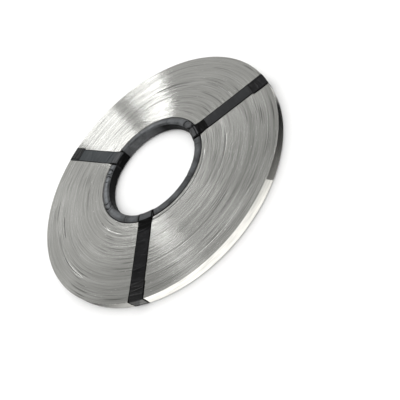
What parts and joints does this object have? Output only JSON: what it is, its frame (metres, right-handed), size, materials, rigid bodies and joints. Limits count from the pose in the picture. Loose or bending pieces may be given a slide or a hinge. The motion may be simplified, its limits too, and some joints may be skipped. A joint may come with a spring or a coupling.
{
  "type": "heating strip coil",
  "caption": "Flat coil of bare nichrome heating strip, wound turn on turn round a soft black core ring and bound with three black tape straps.",
  "frame": {"origin": "on the coil's axis, in the plane that the coil lies on", "axes": "+Z along the coil's axis, up from the plane it lies on; +X and +Y are in the plane of the coil"},
  "size_m": [0.29, 0.2904, 0.0124],
  "materials": {
    "nichrome": "bright cold-rolled strip edges, semi-gloss",
    "core": "semi-matt black wrap",
    "tape": "semi-gloss black tape"
  },
  "bodies": {
    "root": {"nichrome_strip_coil": "nichrome", "core_ring": "core", "tape_strap_a": "tape", "tape_strap_b": "tape", "tape_strap_c": "tape"}
  },
  "joints": []
}
